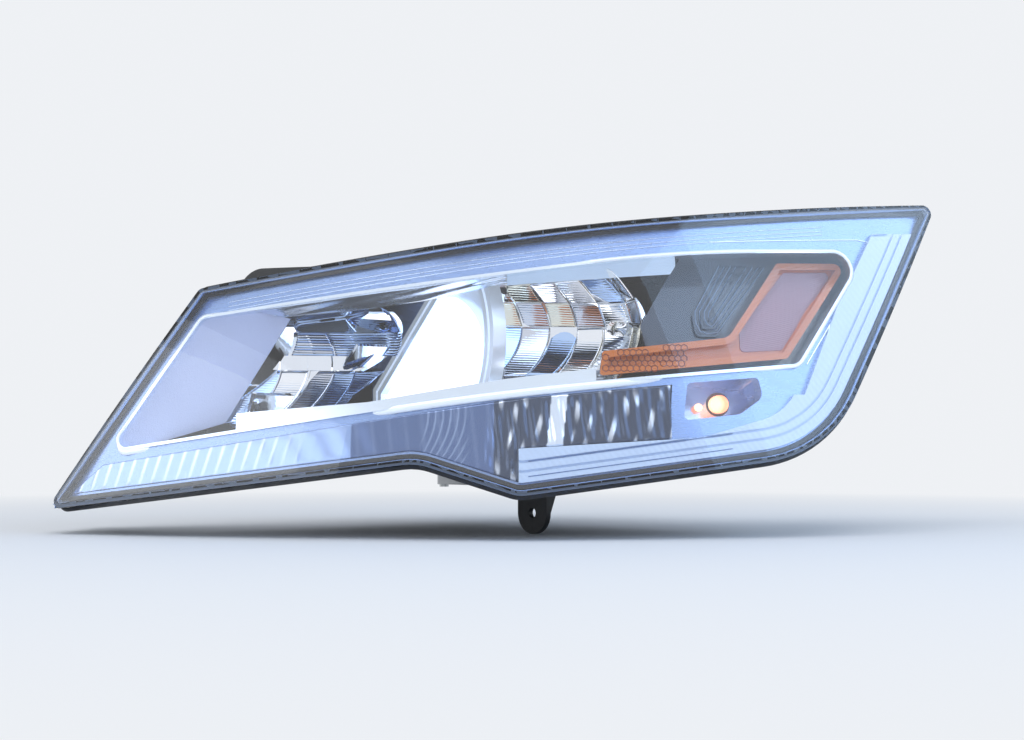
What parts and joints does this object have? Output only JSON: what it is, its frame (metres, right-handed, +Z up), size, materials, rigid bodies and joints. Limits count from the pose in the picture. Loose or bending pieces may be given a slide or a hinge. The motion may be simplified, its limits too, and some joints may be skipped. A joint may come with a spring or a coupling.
{
  "type": "car headlamp",
  "caption": "Left car headlamp with a swept clear lens, a lit projector between two faceted reflectors, an amber marker, a light guide and an aiming frame in a sealed housing.",
  "frame": {"origin": "midway between the two upper screw holes, on the top face of their tabs", "axes": "+X forward along the beam, +Y to the car's left (outboard), +Z up"},
  "size_m": [0.5547, 0.4344, 0.2318],
  "materials": {
    "clear_lens": "clear gloss",
    "sealant": "matte",
    "housing_black": "matte",
    "pale_trim": "satin silver",
    "bright_trim": "bright",
    "guide_white": "milky gloss",
    "dark_trim": "satin",
    "amber": "gloss",
    "amber_glass": "gloss",
    "reflector_chrome": "mirror",
    "socket_grey": "matte",
    "zinc_steel": "zinc",
    "adjuster_white": "natural",
    "frame_grey": "matte",
    "led_board": "satin",
    "bulb_glass": "gloss",
    "die_cast": "as cast",
    "lit_lens": "gloss, lit",
    "cap_rubber": "matte",
    "connector_black": "matte"
  },
  "bodies": {
    "lamp_body": {"outer_lens": "clear_lens", "sealant": "sealant", "housing": "housing_black", "bezel_frame": "pale_trim", "window_surround": "bright_trim", "fluted_strip": "pale_trim", "light_guide": "guide_white", "inboard_panel": "pale_trim", "dark_trim": "dark_trim", "amber_reflector": "amber", "turn_reflector": "reflector_chrome", "turn_bulb": "amber_glass", "turn_bulb_socket": "socket_grey", "inboard_pivot_stud": "zinc_steel", "outboard_pivot_stud": "zinc_steel", "aim_screw": "adjuster_white", "inboard_access_cap": "cap_rubber", "outboard_access_cap": "cap_rubber", "led_driver": "die_cast", "main_connector": "connector_black", "inboard_vent_cap": "cap_rubber", "outboard_vent_cap": "cap_rubber"},
    "optics": {"aim_frame": "frame_grey", "inboard_reflector": "reflector_chrome", "inboard_led": "led_board", "outboard_reflector": "reflector_chrome", "main_beam_bulb": "bulb_glass", "bulb_base": "socket_grey", "projector_barrel": "die_cast", "projector_ring": "reflector_chrome", "projector_lens": "lit_lens", "projector_sink": "die_cast"}
  },
  "joints": [
    {"name": "beam_aim", "type": "hinge", "parent": "lamp_body", "child": "optics", "pos_m": [-0.062, 0.012, -0.038], "axis": [0, 1, 0], "range_deg": [-3, 3]}
  ]
}
